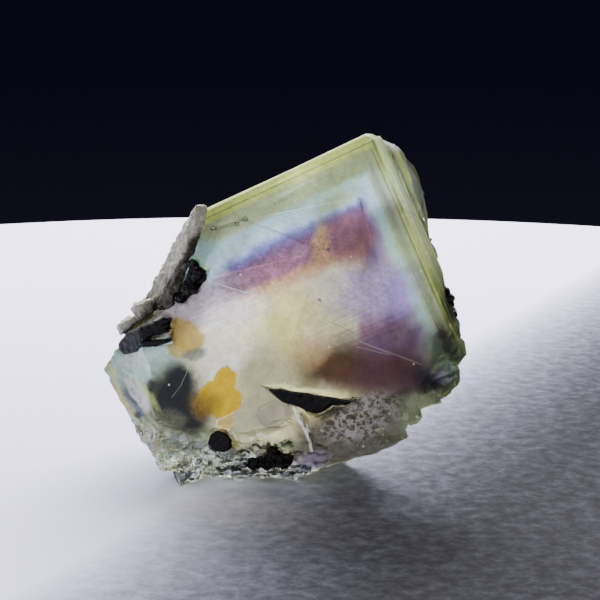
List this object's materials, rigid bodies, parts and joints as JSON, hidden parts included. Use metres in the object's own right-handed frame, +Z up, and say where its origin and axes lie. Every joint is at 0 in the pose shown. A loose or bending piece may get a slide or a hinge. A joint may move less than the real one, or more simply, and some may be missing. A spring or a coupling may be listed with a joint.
{
  "type": "fluorite crystal",
  "caption": "Broken corner of a zoned fluorite cube, pale green over a violet phantom, with a rock rind and black tourmaline in its faces.",
  "frame": {"origin": "centre of the bounding box, on the surface the crystal rests on", "axes": "+Z up; -Y towards the side with the large front growth face; +X towards the right growth face"},
  "size_m": [0.0324, 0.0225, 0.0317],
  "materials": {
    "fluorite": "glassy growth faces, frosted breaks, pale green rim over a violet zone and a cream centre",
    "matrix": "rough granular grey-brown rock",
    "tourmaline": "black, finely striated, semi-gloss"
  },
  "bodies": {
    "root": {"fluorite_crystal": "fluorite", "matrix_rind": "matrix", "tourmaline_front_blade": "tourmaline", "tourmaline_lower_stub": "tourmaline", "tourmaline_left_spray": "tourmaline", "tourmaline_rim_cluster": "tourmaline", "tourmaline_lower_seam": "tourmaline", "tourmaline_right_knob": "tourmaline"}
  },
  "joints": []
}
